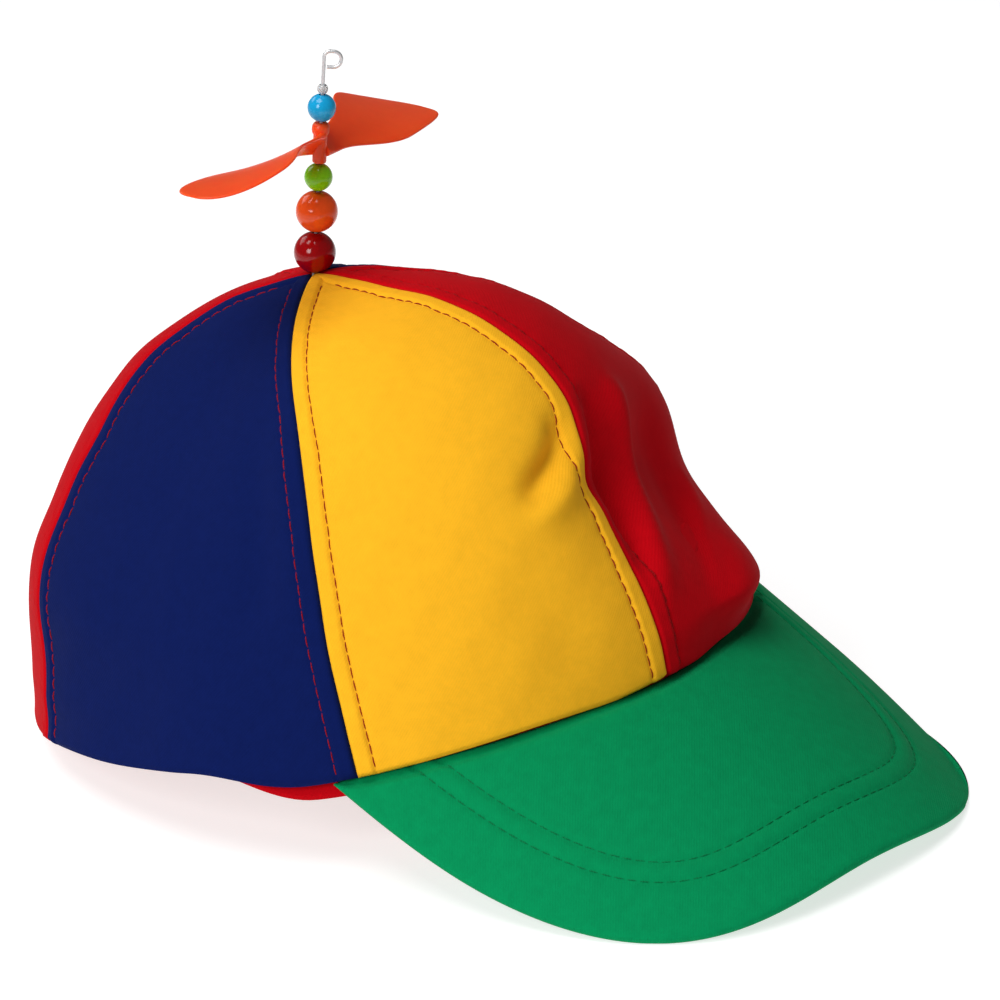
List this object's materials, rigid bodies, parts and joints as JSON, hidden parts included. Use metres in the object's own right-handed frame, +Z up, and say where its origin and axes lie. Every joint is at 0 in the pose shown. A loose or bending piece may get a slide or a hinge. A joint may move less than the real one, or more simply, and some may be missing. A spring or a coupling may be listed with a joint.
{
  "type": "propeller beanie",
  "caption": "Panelled cotton cap with a curved peak and a wire spindle of round beads that carries a free-turning propeller.",
  "frame": {"origin": "centre of the beanie's bounding box, on the surface that it rests on", "axes": "+Z up, -Y the way the peak points, -X the wearer's right"},
  "size_m": [0.1796, 0.249, 0.169],
  "materials": {
    "cotton_yellow": "matte cotton twill",
    "cotton_navy": "matte cotton twill",
    "cotton_red": "matte cotton twill",
    "cotton_green": "matte cotton twill over a stiff board",
    "bead_red": "glossy lacquer",
    "bead_orange": "glossy lacquer",
    "bead_green": "glossy lacquer",
    "bead_blue": "glossy lacquer",
    "bead_clear": "glossy, milky",
    "propeller_orange": "moulded, semi-gloss",
    "wire_steel": "bright drawn wire"
  },
  "bodies": {
    "cap": {"crown_panel_front_right": "cotton_yellow", "crown_panel_side_right": "cotton_navy", "crown_panel_back_right": "cotton_red", "crown_panel_back_left": "cotton_yellow", "crown_panel_side_left": "cotton_navy", "crown_panel_front_left": "cotton_red", "sweatband": "cotton_red", "peak": "cotton_green", "wire": "wire_steel", "red_bead": "bead_red", "orange_bead": "bead_orange", "green_bead": "bead_green", "blue_bead": "bead_blue", "clear_bead": "bead_clear"},
    "propeller": {"propeller": "propeller_orange"}
  },
  "joints": [
    {"name": "propeller_spin", "type": "hinge", "parent": "cap", "child": "propeller", "pos_m": [0.00414, 0.05222, 0.14568], "axis": [0.1219, -0.0394, 0.9918], "continuous": true}
  ]
}
